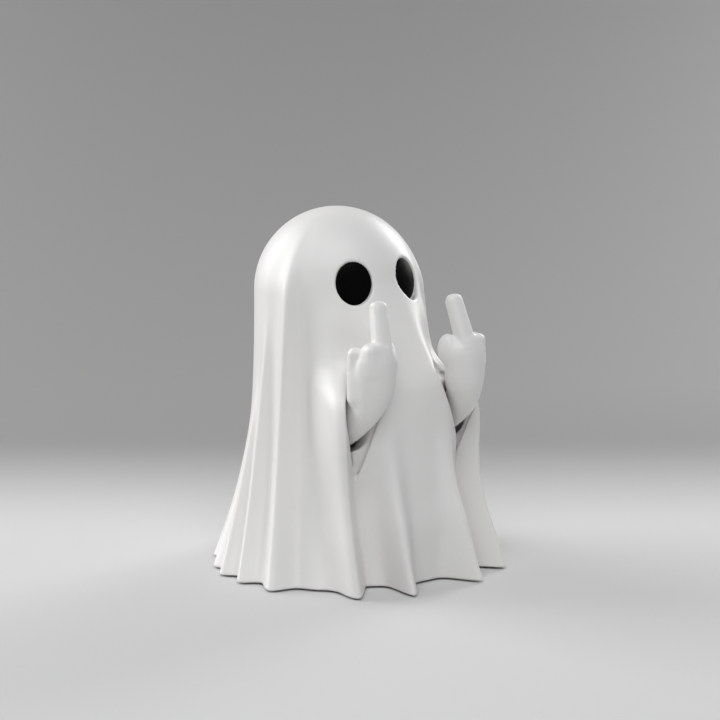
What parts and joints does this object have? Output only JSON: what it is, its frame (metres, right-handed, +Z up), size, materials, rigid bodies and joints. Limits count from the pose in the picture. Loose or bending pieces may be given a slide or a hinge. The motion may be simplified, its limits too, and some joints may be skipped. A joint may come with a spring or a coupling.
{
  "type": "ghost decoration figure",
  "caption": "Hollow moulded ghost in a draped sheet with folds to a wavy hem, inset oval eyes and raised arms that rock on pins inside sleeve openings.",
  "frame": {"origin": "on the ground under the middle of the hem's bounding box", "axes": "+Z up, the ghost faces -Y, its left hand is towards +X"},
  "size_m": [0.1732, 0.165, 0.2],
  "materials": {
    "sheet_white": "satin, warm white, smooth moulded",
    "eye_black": "polished black",
    "inner_grey": "plain moulded grey",
    "steel": "plain bright steel",
    "rubber": "matte"
  },
  "bodies": {
    "figure": {"drape_shell": "sheet_white", "inner_carrier": "sheet_white", "base_plate": "inner_grey", "right_arm_pin": "steel", "right_friction_washer": "rubber", "right_pin_clip": "steel", "right_eye": "eye_black", "right_eye_retainer": "steel", "left_arm_pin": "steel", "left_friction_washer": "rubber", "left_pin_clip": "steel", "left_eye": "eye_black", "left_eye_retainer": "steel", "sheet_screw_1": "steel", "sheet_screw_2": "steel", "sheet_screw_3": "steel", "sheet_screw_4": "steel", "carrier_screw_1": "steel", "carrier_screw_2": "steel", "carrier_screw_3": "steel", "carrier_screw_4": "steel", "pad_1": "rubber", "pad_2": "rubber", "pad_3": "rubber", "pad_4": "rubber"},
    "right_arm_body": {"right_arm": "sheet_white"},
    "left_arm_body": {"left_arm": "sheet_white"}
  },
  "joints": [
    {"name": "right_arm_rock", "type": "hinge", "parent": "figure", "child": "right_arm_body", "pos_m": [-0.03398, -0.02325, 0.079], "axis": [1, 0, 0], "range_deg": [-5, 11]},
    {"name": "left_arm_rock", "type": "hinge", "parent": "figure", "child": "left_arm_body", "pos_m": [0.03398, -0.02325, 0.079], "axis": [1, 0, 0], "range_deg": [-5, 11]}
  ]
}
